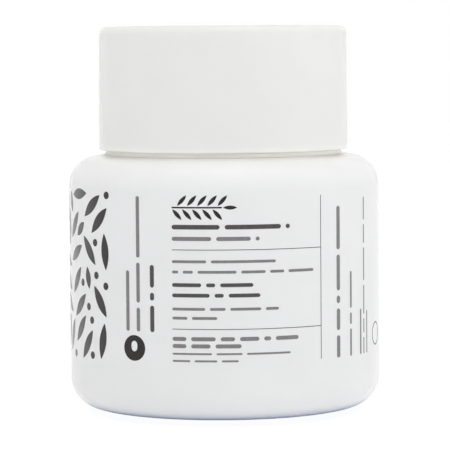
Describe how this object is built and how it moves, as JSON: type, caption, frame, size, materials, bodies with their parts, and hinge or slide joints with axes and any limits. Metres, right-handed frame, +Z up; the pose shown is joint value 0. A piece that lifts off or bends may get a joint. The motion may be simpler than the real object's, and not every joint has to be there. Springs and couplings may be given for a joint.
{
  "type": "nail polish remover jar",
  "caption": "Short round white jar with a wide threaded neck, a foam sponge with a finger hole inside, and a smooth screw cap with a liner.",
  "frame": {"origin": "the centre of the foot, on the surface that the jar stands on", "axes": "+Z up along the axis of the jar and cap; -Y towards the printed front"},
  "size_m": [0.05, 0.05, 0.0619],
  "materials": {
    "jar_plastic": "satin white, moulded",
    "foam": "open-cell foam",
    "liner": "fine closed-cell foam",
    "inner_plastic": "plain natural white",
    "cap_plastic": "satin white, moulded"
  },
  "bodies": {
    "jar": {"jar": "jar_plastic", "sponge": "foam"},
    "liner": {"cap_liner": "liner"},
    "cap": {"inner_cap": "inner_plastic", "cap_shell": "cap_plastic"}
  },
  "joints": [
    {"name": "cap_rise", "type": "slide", "parent": "jar", "child": "liner", "axis": [0, 0, 1], "range_m": [0, 0.0126]},
    {"name": "cap_twist", "type": "hinge", "parent": "liner", "child": "cap", "pos_m": [0, 0, 0.0523], "axis": [0, 0, 1], "range_deg": [0, 1080]}
  ],
  "couplings": [
    {"joint": "cap_rise", "follows": "cap_twist", "m_per_rad": 0.00066845}
  ]
}
